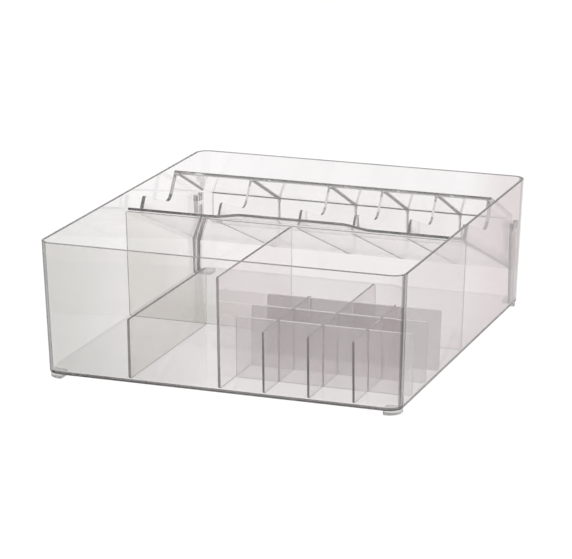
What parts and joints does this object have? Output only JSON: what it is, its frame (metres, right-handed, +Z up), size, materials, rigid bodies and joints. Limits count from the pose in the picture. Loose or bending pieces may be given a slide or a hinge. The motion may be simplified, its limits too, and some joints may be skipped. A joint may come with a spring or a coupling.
{
  "type": "drawer organizer",
  "caption": "Clear plastic drawer organizer: an open tub with partitions, a slotted divider grid and a sloping lift-out tray with bays that run under a roof.",
  "frame": {"origin": "on the ground, under the middle of the tub", "axes": "+X to the right along the tub's front, +Y from the front to the back, where the tray is, +Z up"},
  "size_m": [0.27, 0.31, 0.1005],
  "materials": {
    "tub": "clear with a faint grey tint, glossy",
    "sheet": "clear with a faint grey tint, glossy",
    "post": "clear with a faint grey tint, glossy",
    "pad": "milky clear, satin",
    "divider": "clear with a faint grey tint, glossy",
    "tray": "clear with a faint grey tint, glossy"
  },
  "bodies": {
    "tub": {"tub": "tub", "cross_wall": "sheet", "tall_partition": "sheet", "low_partition": "sheet", "post_left": "post", "post_right": "post", "pad_front_left": "pad", "pad_front_right": "pad", "pad_back_left": "pad", "pad_back_right": "pad"},
    "tray": {"tray": "tray"},
    "long_dividers": {"long_divider_1": "divider", "long_divider_2": "divider", "long_divider_3": "divider"},
    "short_divider_1": {"short_divider_1": "divider"},
    "short_divider_2": {"short_divider_2": "divider"},
    "short_divider_3": {"short_divider_3": "divider"}
  },
  "joints": [
    {"name": "tray_lift", "type": "slide", "parent": "tub", "child": "tray", "axis": [0, 0, 1], "range_m": [0, 0.085]},
    {"name": "grid_lift", "type": "slide", "parent": "tub", "child": "long_dividers", "axis": [0, 0, 1], "range_m": [0, 0.1]},
    {"name": "short_lift_1", "type": "slide", "parent": "long_dividers", "child": "short_divider_1", "axis": [0, 0, 1], "range_m": [0, 0.055]},
    {"name": "short_lift_2", "type": "slide", "parent": "long_dividers", "child": "short_divider_2", "axis": [0, 0, 1], "range_m": [0, 0.055]},
    {"name": "short_lift_3", "type": "slide", "parent": "long_dividers", "child": "short_divider_3", "axis": [0, 0, 1], "range_m": [0, 0.055]}
  ]
}
